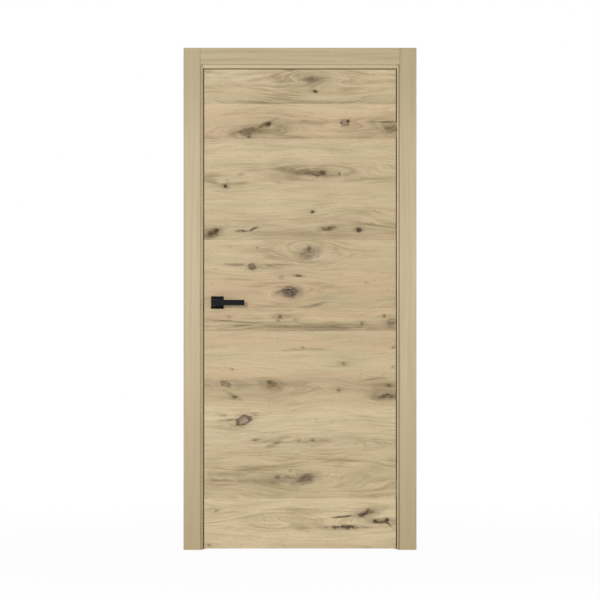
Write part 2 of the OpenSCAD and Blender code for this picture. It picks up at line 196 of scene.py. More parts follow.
knot_inputs = [
    ("Place", "Vector", (0, 0, 0)), ("Side Push", "Float", 0), ("Up Push", "Float", 0),
    ("Mottle", "Float", 0.5), ("Bend", "Float", 0), ("Stir", "Float", 0), ("Dark", "Float", 0),
    ("Ring", "Float", 0), ("Halo", "Float", 0), ("Ripple", "Float", 0), ("Centre", "Vector", (0, 0, 0)),
    ("Long Axis", "Vector", (1, 0, 0)), ("High Axis", "Vector", (0, 0, 1)), ("Half Height", "Float", 6),
    ("Reach", "Float", 2), ("Calm", "Float", 1), ("Ragged", "Float", 1), ("Broken", "Float", 0),
    ("Dark Strength", "Float", 1), ("Ring Strength", "Float", 0), ("Halo Strength", "Float", 0),
    ("Ripple Strength", "Float", 0),
]
knot_sums = ("Bend", "Stir", "Dark", "Ring", "Halo", "Ripple")
knot, given, knot_end = new_group("Knot", knot_inputs, [(name, "Float") for name in knot_sums])

# The place in knot sizes: 1 at the tip of the long axis, and 1 at the top of the high one
away = put(knot, "ShaderNodeVectorMath", (given["Place"], given["Centre"]), operation="SUBTRACT")
sideways = put(knot, "ShaderNodeVectorMath", (away, given["Long Axis"]), out="Value",
               operation="DOT_PRODUCT")
upwards = put(knot, "ShaderNodeVectorMath", (away, given["High Axis"]), out="Value",
              operation="DOT_PRODUCT")

# The flow: the height above the knot, over the squared distance in knot sizes
reached = put(knot, "ShaderNodeMath", (sideways, given["Reach"]), operation="DIVIDE")
up_square = put(knot, "ShaderNodeMath", (upwards, upwards), operation="MULTIPLY")
flow_square = put(knot, "ShaderNodeMath", (reached, reached, up_square), operation="MULTIPLY_ADD")
flow_soft = put(knot, "ShaderNodeMath", (flow_square, given["Calm"]), operation="ADD")
height_above = put(knot, "ShaderNodeMath", (upwards, given["Half Height"]), operation="MULTIPLY")
own_bend = put(knot, "ShaderNodeMath", (height_above, flow_soft), operation="DIVIDE")
bend = put(knot, "ShaderNodeMath", (own_bend, given["Bend"]), operation="ADD")

# The stir: how much the grain is crowded here, 1 at the knot and 0 far from it
own_stir = put(knot, "ShaderNodeMapRange", (flow_square, *stir_edge), interpolation_type="SMOOTHSTEP")
stir = put(knot, "ShaderNodeMath", (own_stir, given["Stir"]), operation="MAXIMUM")

# The outline, pushed about by noise: 1 at the knot's edge, 0 at its heart
push_far = put(knot, "ShaderNodeMath", (given["Ragged"], push_reach), operation="MULTIPLY")
side_pushed = put(knot, "ShaderNodeMath", (given["Side Push"], push_far, sideways),
                  operation="MULTIPLY_ADD")
up_pushed = put(knot, "ShaderNodeMath", (given["Up Push"], push_far, upwards), operation="MULTIPLY_ADD")
up_pushed_square = put(knot, "ShaderNodeMath", (up_pushed, up_pushed), operation="MULTIPLY")
radius_square = put(knot, "ShaderNodeMath", (side_pushed, side_pushed, up_pushed_square),
                    operation="MULTIPLY_ADD")
radius = put(knot, "ShaderNodeMath", (radius_square, 0.5), operation="POWER")

# The heart, broken up where Broken is high
broken_end = put(knot, "ShaderNodeMath", (given["Broken"], patch_softness), operation="ADD")
patches = put(knot, "ShaderNodeMapRange", (given["Mottle"], given["Broken"], broken_end))
heart = put(knot, "ShaderNodeMapRange", (radius, *heart_edge), interpolation_type="SMOOTHSTEP")
heart_patches = put(knot, "ShaderNodeMath", (heart, patches), operation="MULTIPLY")
own_dark = put(knot, "ShaderNodeMath", (heart_patches, given["Dark Strength"]), operation="MULTIPLY")
dark = put(knot, "ShaderNodeMath", (own_dark, given["Dark"]), operation="MAXIMUM")

# The bark ring, thick and thin in turns
ring_far = put(knot, "ShaderNodeMath", (radius, ring_at), operation="SUBTRACT")
ring_off = put(knot, "ShaderNodeMath", (ring_far,), operation="ABSOLUTE")
ring_line = put(knot, "ShaderNodeMapRange", (ring_off, *ring_edge), interpolation_type="SMOOTHSTEP")
ring_wear = put(knot, "ShaderNodeMapRange", (given["Mottle"], *ring_wear_range))
ring_worn = put(knot, "ShaderNodeMath", (ring_line, ring_wear), operation="MULTIPLY")
own_ring = put(knot, "ShaderNodeMath", (ring_worn, given["Ring Strength"]), operation="MULTIPLY")
ring = put(knot, "ShaderNodeMath", (own_ring, given["Ring"]), operation="MAXIMUM")

# The halo, which trails off along the grain
halo_side = put(knot, "ShaderNodeMath", (side_pushed, halo_shrink[0]), operation="MULTIPLY")
halo_up = put(knot, "ShaderNodeMath", (up_pushed, halo_shrink[1]), operation="MULTIPLY")
halo_up_square = put(knot, "ShaderNodeMath", (halo_up, halo_up), operation="MULTIPLY")
halo_square = put(knot, "ShaderNodeMath", (halo_side, halo_side, halo_up_square), operation="MULTIPLY_ADD")
halo_radius = put(knot, "ShaderNodeMath", (halo_square, 0.5), operation="POWER")
stain = put(knot, "ShaderNodeMapRange", (halo_radius, *halo_edge), interpolation_type="SMOOTHSTEP")
own_halo = put(knot, "ShaderNodeMath", (stain, given["Halo Strength"]), operation="MULTIPLY")
halo = put(knot, "ShaderNodeMath", (own_halo, given["Halo"]), operation="MAXIMUM")

# The ripples of crowded growth rings, pale and dark by turns
ring_pace = 2 * math.pi / ripple_step
ripple_turns = put(knot, "ShaderNodeMath", (given["Half Height"], ring_pace), operation="MULTIPLY")
ripple_phase = put(knot, "ShaderNodeMath", (radius, ripple_turns), operation="MULTIPLY")
ripple_wave = put(knot, "ShaderNodeMath", (ripple_phase,), operation="SINE")
ripple_fade = put(knot, "ShaderNodeMapRange", (radius, *ripple_edge), interpolation_type="SMOOTHSTEP")
ripple_soft = put(knot, "ShaderNodeMath", (ripple_wave, ripple_fade), operation="MULTIPLY")
ripple = put(knot, "ShaderNodeMath", (ripple_soft, given["Ripple Strength"], given["Ripple"]),
             operation="MULTIPLY_ADD")

for socket, result in zip(knot_sums, (bend, stir, dark, ring, halo, ripple)):
    knot.links.new(result, knot_end.inputs[socket])
print("knot group has", len(knot.nodes), "nodes")

# %% [markdown]
# ## What the grain of oak looks like
#
# Sawn oak shows several patterns at once, each with its own size: broad changes of tone over tens of
# millimetres, streaks, growth lines a few millimetres apart, and pores, the thin dark dashes of the
# vessels that give oak its coarse feel. All run along the board, so one group stretches noise by a
# real length and width for each. The arcs are made another way: they are the height lines of a slow
# noise, as on a map, so they never end, crowd on the slopes and close into long arches.
#
# The pores are in a group of their own, because they stay straight where the growth lines bend.

# %% Group: oak grain
grain_sizes = {
    "Tone": {"length": 300, "width": 30, "detail": 2.0, "low": 0.32, "high": 0.68},
    "Streaks": {"length": 210, "width": 8.5, "detail": 3.0, "low": 0.40, "high": 0.70},
    "Lines": {"length": 110, "width": 4.0, "detail": 2.0, "low": 0.38, "high": 0.72},
    "Arcs": {"length": 500, "width": 58, "detail": 1.0, "low": 0.0, "high": 1.0},
}
arc_lines = 12
arc_dark = (0.35, 0.95)
layer_shift = 7.3

grain_inputs = [("Along", "Float", 0), ("Across", "Float", 0), ("Seed", "Float", 0)]
grain, given, grain_end = new_group("Oak grain", grain_inputs, [(name, "Float") for name in grain_sizes])

for step, (layer, size) in enumerate(grain_sizes.items()):
    along = put(grain, "ShaderNodeMath", (given["Along"], size["length"]), operation="DIVIDE")
    across = put(grain, "ShaderNodeMath", (given["Across"], size["width"]), operation="DIVIDE")
    slice_at = put(grain, "ShaderNodeMath", (given["Seed"], layer_shift * step), operation="ADD")
    spot = put(grain, "ShaderNodeCombineXYZ", (along, across, slice_at))
    noise = put(grain, "ShaderNodeTexNoise", {"Vector": spot, "Scale": 1.0, "Detail": size["detail"]})
    shown = put(grain, "ShaderNodeMapRange", (noise, size["low"], size["high"]))
    if layer == "Arcs":
        climb = put(grain, "ShaderNodeMath", (shown, 2 * arc_lines), operation="MULTIPLY")
        fold = put(grain, "ShaderNodeMath", (climb, 1.0), operation="PINGPONG")
        shown = put(grain, "ShaderNodeMapRange", (fold, *arc_dark), interpolation_type="SMOOTHSTEP")
    grain.links.new(shown, grain_end.inputs[layer])
print("grain group has", len(grain.nodes), "nodes")

# %% Group: oak pores
pore_length = 14
pore_width = 0.8
pore_cut = (0.6, 0.72)

pore, given, pore_end = new_group("Oak pores", grain_inputs, [("Pores", "Float")])
along = put(pore, "ShaderNodeMath", (given["Along"], pore_length), operation="DIVIDE")
across = put(pore, "ShaderNodeMath", (given["Across"], pore_width), operation="DIVIDE")
spot = put(pore, "ShaderNodeCombineXYZ", (along, across, given["Seed"]))
noise = put(pore, "ShaderNodeTexNoise", {"Vector": spot, "Scale": 1.0, "Detail": 1.0})
pores_shown = put(pore, "ShaderNodeMapRange", (noise, *pore_cut))
pore.links.new(pores_shown, pore_end.inputs["Pores"])
print("pore group has", len(pore.nodes), "nodes")

# %% [markdown]
# ## The veneer boards
#
# The face of the leaf is sliced oak veneer, matt lacquered, laid as lying boards of different
# heights. Each board comes from another slice, so each has its own tones from foot to top, its own
# marks and its own seed. The marks are written as a joiner would note them: what kind of mark it is,
# where its middle lies, its half length and half height, how it is turned, and how strong it is.
#
# There are only a few kinds. A pin is a small sound knot, and a bud a larger one with a brown ring.
# An eye is a mottled knot, and a dead knot is an eye whose wood has turned cold and grey. A flame is
# a stained patch with dark splinters. A shell is a knot whose bark ring shows round a pale heart. A
# crack is nearly black. A line is a thin brown vein. Smoke is a stain alone, a swirl is ripples
# alone, and a bow only bends the grain.

# %% Kinds of mark
mark_traits = ("Reach", "Calm", "Ragged", "Broken", "Dark", "Ring", "Halo", "Ripple", "Cold")
mark_kinds = {
    "pin": (2.3, 0.90, 0.25, 0.00, 0.88, 0.20, 0.60, 0.0, 0.0),
    "bud": (2.2, 0.90, 0.60, 0.05, 0.32, 0.75, 0.80, 0.0, 0.2),
    "eye": (2.2, 0.80, 0.50, 0.28, 0.52, 0.25, 0.75, 0.10, 0.2),
    "dead": (2.2, 0.80, 0.50, 0.30, 0.54, 0.25, 0.75, 0.10, 0.75),
    "flame": (1.5, 1.15, 0.65, 0.30, 0.50, 0.00, 0.85, 0.05, 0.0),
    "shell": (2.2, 0.85, 0.40, 0.10, 0.20, 0.85, 0.60, 0.0, 0.6),
    "crack": (1.2, 1.10, 0.75, 0.18, 0.82, 0.00, 0.45, 0.0, 0.2),
    "line": (1.0, 1.10, 0.45, 0.20, 0.26, 0.00, 0.60, 0.0, 0.0),
    "smoke": (1.0, 1.10, 0.60, 1.00, 0.00, 0.00, 0.75, 0.0, 0.0),
    "swirl": (2.0, 0.80, 0.60, 1.00, 0.00, 0.00, 0.10, 0.5, 0.0),
    "bow": (1.0, 1.10, 0.00, 1.00, 0.00, 0.00, 0.00, 0.0, 0.0),
}
mark_kinds = {kind: dict(zip(mark_traits, traits)) for kind, traits in mark_kinds.items()}
print(len(mark_kinds), "kinds of mark")

# %% Tones, boards and their marks
tones = {
    "ivory": "#E0CBA5", "sand": "#D9C49E", "cream": "#D3BF9A", "pale": "#CFBA94",
    "straw": "#CAB48E", "rose": "#CBB08B", "moss": "#C0AE88", "dull": "#BDA682",
}
boards = {
    "board_1": {
        "low": 1861, "high": 2005, "figure": 1.3, "right": 0.99,
        "tones": ("moss", "straw", "cream"),
        "marks": [
            ("eye", 45, 1961, 29, 13, 6, 0.8), ("eye", 76, 1962, 24, 11, 0, 0.4),
            ("pin", 98, 1969, 5, 4, 0, 0.5), ("swirl", -14, 1974, 34, 24, 0, 1),
            ("pin", 64, 1913, 10, 6, 0, 0.95), ("smoke", 197, 1958, 22, 8, 0, 0.4),
            ("line", -39, 2003, 14, 7, 0, 0.8), ("line", 10, 1869, 330, 4, 0, 0.3),
            ("bow", 60, 1930, 120, 40, 0, 1),
        ],
    },
    "board_2": {
        "low": 1715, "high": 1861, "figure": 1.0, "right": 0.98,
        "tones": ("dull", "rose", "cream"),
        "marks": [
            ("flame", -214, 1747, 42, 18, 10, 0.9), ("pin", -212, 1724, 11, 8, 0, 0.6),
            ("flame", -158, 1768, 32, 9, 25, 0.9), ("pin", -133, 1777, 17, 11, 15, 1),
            ("swirl", -98, 1757, 36, 18, 0, 1), ("bud", 186, 1783, 17, 11, 0, 0.7),
            ("pin", 173, 1782, 8, 5, 0, 0.8), ("pin", 200, 1789, 8, 7, 40, 1),
            ("swirl", 196, 1770, 28, 14, 0, 0.8), ("line", 36, 1784, 96, 8, -1, 0.5),
            ("flame", 374, 1760, 34, 20, 0, 0.75), ("line", 362, 1786, 56, 4, 0, 1.2),
            ("smoke", 330, 1768, 80, 26, 0, 0.45), ("bow", -170, 1755, 190, 22, 4, 1),
            ("line", 20, 1722, 330, 4, 0, 0.2),
        ],
    },
    "board_3": {
        "low": 1293, "high": 1715, "figure": 1.0, "right": 0.965,
        "tones": ("dull", "straw", "pale", "straw", "pale", "straw"),
        "marks": [
            ("flame", 52, 1571, 62, 14, -4, 1), ("line", 6, 1579, 60, 8, -7, 0.9),
            ("pin", 95, 1575, 17, 12, 0, 0.85), ("pin", 74, 1563, 10, 6, 0, 0.7),
            ("pin", 164, 1569, 6, 9, 0, 0.6), ("smoke", 60, 1570, 110, 20, 0, 0.4),
            ("pin", -311, 1517, 9, 8, 0, 1), ("swirl", -322, 1540, 30, 20, 0, 0.6),
            ("smoke", -247, 1566, 8, 6, 0, 0.6), ("pin", 52, 1410, 8, 7, 0, 0.95),
            ("flame", -363, 1322, 28, 15, 20, 1.2), ("pin", -350, 1328, 14, 11, 30, 0.9),
            ("swirl", -326, 1318, 34, 18, 0, 0.8), ("crack", -372, 1317, 18, 8, 15, 0.9),
            ("crack", -243, 1329, 30, 6, 0, 0.8), ("crack", -196, 1339, 26, 6, 24, 0.8),
            ("swirl", -164, 1349, 28, 13, 0, 0.9),
            ("smoke", -90, 1322, 200, 14, 0, 0.35), ("flame", 117, 1341, 28, 10, 12, 1),
            ("pin", 246, 1334, 13, 12, 0, 0.95), ("swirl", 290, 1369, 74, 28, 0, 1),
            ("bow", 90, 1572, 210, 24, 0, 1),
        ],
    },
    "board_4": {
        "low": 1009, "high": 1293, "figure": 0.9, "right": 0.96,
        "tones": ("dull", "rose", "straw", "pale"),
        "marks": [
            ("pin", -178, 1261, 4, 4, 0, 0.45), ("eye", 31, 1236, 29, 26, 0, 0.75),
            ("eye", 66, 1243, 22, 20, 0, 0.45), ("pin", 38, 1255, 14, 11, 60, 0.75),
            ("swirl", 42, 1241, 64, 34, 0, 0.7), ("bud", -201, 1184, 13, 12, 0, 1),
            ("line", -263, 1190, 32, 6, 0, 1), ("line", -88, 1189, 60, 5, 0, 0.8),
            ("smoke", -140, 1186, 60, 8, 0, 0.4), ("crack", -6, 1143, 16, 5, -8, 0.85),
            ("bud", -79, 1139, 9, 8, 0, 0.35), ("dead", -43, 1076, 31, 20, 0, 1.55),
            ("smoke", 14, 1080, 30, 8, 0, 0.35), ("line", 66, 1023, 32, 5, 15, 0.7),
            ("pin", 277, 1116, 4, 4, 0, 0.3), ("bow", -43, 1076, 90, 40, 0, 1),
        ],
    },
    "board_5": {
        "low": 913, "high": 1009, "figure": 1.1, "right": 0.99,
        "tones": ("dull", "straw", "rose", "straw"),
        "marks": [
            ("pin", -295, 971, 6, 5, 0, 0.4), ("pin", -83, 973, 10, 8, 0, 0.6),
            ("pin", -91, 959, 8, 6, 0, 0.4), ("pin", -20, 961, 5, 4, 0, 0.4),
            ("pin", 352, 975, 6, 9, 0, 0.5), ("pin", 258, 943, 9, 8, 0, 0.5),
            ("eye", 379, 946, 17, 20, 0, 0.7), ("smoke", 70, 931, 230, 12, 0, 0.6),
            ("line", -60, 930, 90, 6, -2, 0.8), ("line", 170, 928, 190, 5, -1, 0.8),
            ("line", -250, 951, 110, 3, -3, 0.8), ("line", 170, 917, 220, 3, 1, 0.7),
            ("line", -250, 937, 140, 3, 2, 0.7),
        ],
    },
    "board_6": {
        "low": 721, "high": 913, "figure": 0.75, "right": 0.97,
        "tones": ("rose", "pale", "pale", "rose", "straw"),
        "marks": [
            ("pin", 12, 843, 5, 4, 0, 0.45), ("pin", 182, 776, 7, 7, 0, 0.45),
            ("pin", -283, 752, 4, 4, 0, 0.5), ("pin", 390, 845, 5, 5, 0, 0.5),
            ("pin", 387, 764, 4, 5, 0, 0.4), ("line", -20, 834, 60, 3, 2, 0.4),
        ],
    },
    "board_7": {
        "low": 598, "high": 721, "figure": 0.92, "right": 1.0,
        "tones": ("pale", "straw", "dull", "straw"),
        "marks": [
            ("bud", -310, 691, 20, 13, -10, 0.75), ("smoke", -300, 690, 50, 16, 0, 0.5),
            ("line", -284, 647, 24, 6, -30, 0.8), ("line", -215, 688, 62, 4, 0, 0.6),
            ("pin", -126, 700, 14, 10, 0, 0.6), ("flame", -119, 691, 32, 16, -10, 0.85),
            ("swirl", -80, 684, 50, 20, 0, 0.8), ("pin", 161, 667, 8, 7, 0, 0.55),
            ("swirl", 24, 681, 72, 18, 0, 0.9), ("flame", 373, 686, 13, 8, 0, 0.9),
            ("flame", 360, 641, 34, 11, 0, 1.2), ("smoke", 360, 655, 46, 24, 0, 0.7),
            ("line", 316, 713, 38, 4, 8, 0.6), ("pin", -273, 637, 14, 8, 10, 0.6),
        ],
    },
    "board_8": {
        "low": 215, "high": 598, "figure": 0.98, "right": 0.985,
        "tones": ("cream", "pale", "pale", "cream", "sand", "sand"),
        "marks": [
            ("shell", -236, 540, 30, 19, 22, 1.05), ("line", -292, 542, 26, 5, 0, 0.8),
            ("pin", -316, 563, 6, 5, 0, 0.3), ("pin", -186, 460, 6, 4, 0, 0.45),
            ("flame", -98, 446, 20, 8, 25, 0.7), ("line", -66, 450, 30, 5, -5, 0.6),
            ("line", 6, 452, 95, 4, 0, 0.45), ("pin", -6, 455, 7, 5, 0, 0.4),
            ("pin", 54, 455, 11, 6, 0, 0.5), ("smoke", 101, 456, 15, 5, 0, 0.6),
            ("swirl", 316, 442, 68, 16, 0, 1), ("eye", 22, 296, 35, 18, 12, 1.1),
            ("pin", -95, 303, 14, 9, 0, 0.55), ("smoke", -100, 296, 56, 16, 0, 0.7),
            ("swirl", -254, 299, 62, 20, 0, 0.9), ("swirl", 137, 299, 52, 26, 0, 1),
            ("pin", -41, 332, 5, 5, 0, 0.3), ("bow", -10, 297, 300, 60, 0, 1),
        ],
    },
    "board_9": {
        "low": 5, "high": 215, "figure": 0.85, "right": 0.95,
        "tones": ("sand", "ivory", "ivory", "ivory"),
        "marks": [
            ("pin", -349, 163, 9, 6, 0, 0.45), ("flame", 274, 153, 40, 14, 14, 0.9),
            ("crack", 268, 150, 34, 10, 14, 1), ("crack", 185, 139, 48, 4, 6, 0.9),
            ("line", 185, 158, 50, 2, 0, 0.5), ("flame", 343, 118, 38, 11, -6, 0.7),
            ("crack", 340, 118, 32, 8, 0, 1), ("crack", 368, 108, 18, 5, -40, 1),
            ("crack", 188, 94, 58, 9, 0, 1.05), ("crack", 196, 93, 110, 4, 0, 0.7),
            ("crack", 281, 162, 14, 5, 60, 0.9), ("crack", 313, 119, 12, 9, 0, 1.1),
            ("crack", 362, 121, 13, 10, 0, 1.1), ("swirl", -119, 126, 66, 28, 0, 1),
            ("smoke", 3, 90, 18, 7, 0, 0.5),
            ("pin", -379, 18, 9, 6, 0, 0.45),
        ],
    },
}
print(len(boards), "boards with", sum(len(board["marks"]) for board in boards.values()), "marks")

# %% [markdown]
# ## Knotty oak veneer, matt lacquered
#
# The lacquer is thin and matt, so the pores stay open and the light is soft, with hardly any gloss.
# The colour is pale straw that turns a little green or rose from slice to slice. Growth lines are
# brown-grey, faint in the calm parts and strong round the knots, where they crowd. The bump comes
# from the pores alone, which are too fine to show from across a room but catch the light close up.

# %% Colours of oak
wood_ior = 1.5
lacquer_roughness = 0.52
sway_height = 14.0
sway_cloud = (70, 45, 2.0)
push_cloud = (26, 16, 3.0)
mottle_cloud = (17, 9, 2.0)
elsewhere = (900, 0, 700)
cold_edge = (1.35, 0.8, 0.0)

line_colour = linear("#8C784C")
green_tint = linear("#BCAF84")
rose_tint = linear("#D3B691")
# The halo colour also paints the shade line down the jamb seams
halo_and_seam_shade_colour = linear("#7C6D53")
ring_colour = linear("#654F3D")
core_colour = linear("#3C3021")
cold_hue = linear("#9F8D7D")


# %% Marks on a board
def cloud(tree, place, length, height, detail=1.0):
    """Soft noise over the face, stretched to a length and a height in millimetres."""
    spot = put(tree, "ShaderNodeVectorMath", (place, (1 / length, 0, 1 / height)), operation="MULTIPLY")
    return put(tree, "ShaderNodeTexNoise", {"Vector": spot, "Scale": 1.0, "Detail": detail})


def lay_marks(tree, place, marks):
    """Chains one knot group for each mark, and gives back their sums and where the wood is cold."""
    # Nothing in wood runs quite straight, so the marks sway, and their outlines are ragged
    sway = put(tree, "ShaderNodeMath", (cloud(tree, place, *sway_cloud), 0.5), operation="SUBTRACT")
    lift = put(tree, "ShaderNodeMath", (sway, sway_height), operation="MULTIPLY")
    lifted = put(tree, "ShaderNodeCombineXYZ", {"Z": lift})
    swayed = put(tree, "ShaderNodeVectorMath", (lifted, place), operation="ADD")
    far_place = put(tree, "ShaderNodeVectorMath", (place, elsewhere), operation="ADD")
    side_push = put(tree, "ShaderNodeMath", (cloud(tree, place, *push_cloud), 0.5), operation="SUBTRACT")
    up_push = put(tree, "ShaderNodeMath", (cloud(tree, far_place, *push_cloud), 0.5), operation="SUBTRACT")
    mottle = cloud(tree, place, *mottle_cloud)
    shared = {"Place": swayed, "Side Push": side_push, "Up Push": up_push, "Mottle": mottle}

    sums = dict.fromkeys(knot_sums, 0.0)
    cold = 0.0
    for kind, x, z, length, height, turn, strength in marks:
        look = mark_kinds[kind]
        strengths = {name + " Strength": look[name] * strength for name in knot_sums if name in look}
        cosine, sine = math.cos(math.radians(turn)), math.sin(math.radians(turn))
        bead = put(tree, "ShaderNodeGroup", {
            "Centre": (x, 0, z), "Long Axis": (cosine / length, 0, sine / length),
            "High Axis": (-sine / height, 0, cosine / height), "Half Height": height,
            **{name: look[name] for name in ("Reach", "Calm", "Ragged", "Broken")},
            **strengths, **shared, **sums,
        }, node_tree=knot).node
        sums = {name: bead.outputs[name] for name in knot_sums}
        if look["Cold"]:
            off = put(tree, "ShaderNodeVectorMath", (swayed, (x, 0, z)), operation="SUBTRACT")
            sized = put(tree, "ShaderNodeVectorMath", (off, (1 / length, 0, 1 / height)),
                        operation="MULTIPLY")
            far = put(tree, "ShaderNodeVectorMath", (sized,), out="Value", operation="LENGTH")
            near = put(tree, "ShaderNodeMapRange", (far, *cold_edge, look["Cold"]))
            cold = put(tree, "ShaderNodeMath", (near, cold), operation="MAXIMUM")
    return sums, cold


# %% Tones from foot to top
def tones_by_height(tree, height, low, high, codes):
    """A colour that goes through a row of hex values as a height goes from low to high."""
    rise = put(tree, "ShaderNodeMapRange", (height, low, high))
    colour = put(tree, "ShaderNodeValToRGB", (rise,))
    ramp = colour.node.color_ramp
    ramp.interpolation = "EASE"
    for place in range(len(codes) - 2):
        ramp.elements.new((place + 1) / (len(codes) - 1))
    for element, code in zip(ramp.elements, codes):
        element.color = linear(code)
    return colour


# %% Material for the veneer
wave_cloud = (480, 90)
wave_height = 90.0
figure_cloud = (220, 44)
ripple_cloud = (44, 20, 2.0)
fleck_cloud = (20, 6, 2.0)
grain_shares = {"Streaks": 0.20, "Lines": 0.22, "Arcs": 0.08}
halo_dulls = 0.5
pore_darkness = 0.16
pore_depth = 0.0002

# Each range reads: from this, to this, and what the two become
green_range = (0.45, 0.0, 0.0, 0.5)
rose_range = (0.55, 1.0, 0.0, 0.4)
ripple_range = (0.42, 0.62, 0.0, 0.45)
figure_range = (0.35, 0.65, 0.5, 1.5)
stir_range = (0.0, 1.0, 1.0, 1.7)
fleck_range = (0.60, 0.74, 0.0, 0.5)
strand_range = (0.0, 1.3, 0.5, 1.0)
sheen_range = (0.0, 0.7, 0.5, 0.05)


def mixed(tree, share, first, second, blend="MIX"):
    """Two colours mixed by a share of the second."""
    return put(tree, "ShaderNodeMix", {0: share, 6: first, 7: second}, out=2, data_type="RGBA",
               blend_type=blend)


def knotty_oak(name, seed, board):
    """Matt lacquered knotty oak veneer for one lying board."""
    material, tree, shader = new_material(name)
    place = millimetres(tree)
    parts = put(tree, "ShaderNodeSeparateXYZ", (place,)).node.outputs
    sums, cold = lay_marks(tree, place, board["marks"])

    # The grain: lines read along the board and across the bent height
    wave = put(tree, "ShaderNodeMath", (cloud(tree, place, *wave_cloud), wave_height, parts["Z"]),
               operation="MULTIPLY_ADD")
    across = put(tree, "ShaderNodeMath", (wave, sums["Bend"]), operation="SUBTRACT")
    lines = put(tree, "ShaderNodeGroup", (parts["X"], across, seed), node_tree=grain).node.outputs
    pores = put(tree, "ShaderNodeGroup", (parts["X"], parts["Z"], seed), node_tree=pore)

    # The ground colour: tones from foot to top, patches of green and rose, and a duller right side
    low, high = board["low"] + wave_height / 2, board["high"] + wave_height / 2
    base = tones_by_height(tree, across, low, high, [tones[tone] for tone in board["tones"]])
    green_share = put(tree, "ShaderNodeMapRange", (lines["Tone"], *green_range))
    rose_share = put(tree, "ShaderNodeMapRange", (lines["Tone"], *rose_range))
    toned = mixed(tree, rose_share, mixed(tree, green_share, base, green_tint), rose_tint)
    right_side = put(tree, "ShaderNodeMapRange", (parts["X"], -leaf_half, leaf_half, 1.0, board["right"]))
    ripple_share = put(tree, "ShaderNodeMapRange", (cloud(tree, place, *ripple_cloud), *ripple_range))
    rippled = put(tree, "ShaderNodeMath", (sums["Ripple"], ripple_share, right_side),
                  operation="MULTIPLY_ADD")
    ground = put(tree, "ShaderNodeVectorMath", {0: toned, "Scale": rippled}, operation="SCALE")

    # The lines: strong in some places and near the knots, faint elsewhere
    figured = put(tree, "ShaderNodeMapRange", (cloud(tree, place, *figure_cloud), *figure_range))
    stirred = put(tree, "ShaderNodeMapRange", (sums["Stir"], *stir_range))
    contrast = put(tree, "ShaderNodeMath", (figured, stirred), operation="MULTIPLY")
    drawn = 0.0
    for layer, share in grain_shares.items():
        drawn = put(tree, "ShaderNodeMath", (lines[layer], share * board["figure"], drawn),
                    operation="MULTIPLY_ADD")
    line_share = put(tree, "ShaderNodeMath", (drawn, contrast), operation="MULTIPLY")
    grained = mixed(tree, line_share, ground, line_colour)

    # Flecks: short brown dashes here and there, a few to a hand's breadth
    fleck_share = put(tree, "ShaderNodeMapRange", (cloud(tree, place, *fleck_cloud), *fleck_range))
    flecked = mixed(tree, fleck_share, grained, line_colour)

    # The knots over the grain, and the pores over all
    strands = put(tree, "ShaderNodeMath", (lines["Streaks"], lines["Lines"]), operation="ADD")
    stranded = put(tree, "ShaderNodeMapRange", (strands, *strand_range))
    halo_share = put(tree, "ShaderNodeMath", (sums["Halo"], stranded), operation="MULTIPLY")
    haloed = mixed(tree, halo_share, flecked, halo_and_seam_shade_colour)
    ringed = mixed(tree, sums["Ring"], haloed, ring_colour)
    cored = mixed(tree, sums["Dark"], ringed, core_colour)
    cooled = mixed(tree, cold, cored, cold_hue, "COLOR")
    pore_share = put(tree, "ShaderNodeMath", (pores, pore_darkness), operation="MULTIPLY")
    tree.links.new(mixed(tree, pore_share, cooled, ring_colour), shader.inputs["Base Color"])

    # Bark, open hearts and stained wood drink the lacquer, so they stay dull where the rest shines
    dull_wood = put(tree, "ShaderNodeMath", (sums["Dark"], sums["Ring"]), operation="MAXIMUM")
    duller = put(tree, "ShaderNodeMath", (sums["Halo"], halo_dulls, dull_wood), operation="MULTIPLY_ADD")
    sheen = put(tree, "ShaderNodeMapRange", (duller, *sheen_range))
    tree.links.new(sheen, shader.inputs["Specular IOR Level"])

    bump = put(tree, "ShaderNodeBump", {"Height": pores, "Strength": 0.25, "Distance": pore_depth},
               invert=True)
    tree.links.new(bump, shader.inputs["Normal"])
    shader.inputs["Roughness"].default_value = lacquer_roughness
    shader.inputs["IOR"].default_value = wood_ior
    return material


veneers = {name: knotty_oak("knotty_oak_" + name, seed, board)
           for seed, (name, board) in enumerate(boards.items(), start=1)}
print("made", len(veneers), "veneer materials")

# %% [markdown]
# ## Straight oak for the frame
#
# Casings, jambs and stops are wrapped in calmer oak veneer whose grain follows the length of each
# piece: upright at the sides, lying at the head. The same grain group does both, with the axes
# swapped. The upright pieces are palest at eye height and a little darker towards both ends, which
# is a painted fall-off of the light.
#
# The veneer is wrapped round a core of fibre board, which shows where nobody looks: on the side that
# faces the wall, and at the sawn ends. The shader finds those sides by the way they face. Down the
# edge of each upright jamb, next to the casing, a thin dark line of painted shade marks the seam.

# %% Materials for the frame
core_board = linear("#9C7F5C")
# Painted light fall-off: the upright tones are palest at eye height and darker towards both ends
casing_falloff_tones = ("#B8A682", "#C0AE8B", "#C8B692", "#CCBA97", "#C4B28F", "#B2A17E")
jamb_falloff_tones = ("#BCAA86", "#C6B491", "#CEBC98", "#D2C09D", "#CCBA97", "#BFAD8A")
head_casing_tones = ("#BAA884", "#BBA985")
head_tones = ("#C7B591", "#C9B793")
frame_green = 0.4
frame_shares = {"Streaks": 0.12, "Lines": 0.10}
frame_pores = 0.14
frame_wave = (1 / 500, 1 / 500, 1 / 700)
frame_wave_height = 40.0
grain_stretch = 0.35
# Painted shade along the jamb seams fades out between these distances, in millimetres
seam_shade_edge = (1.5, 6.0)


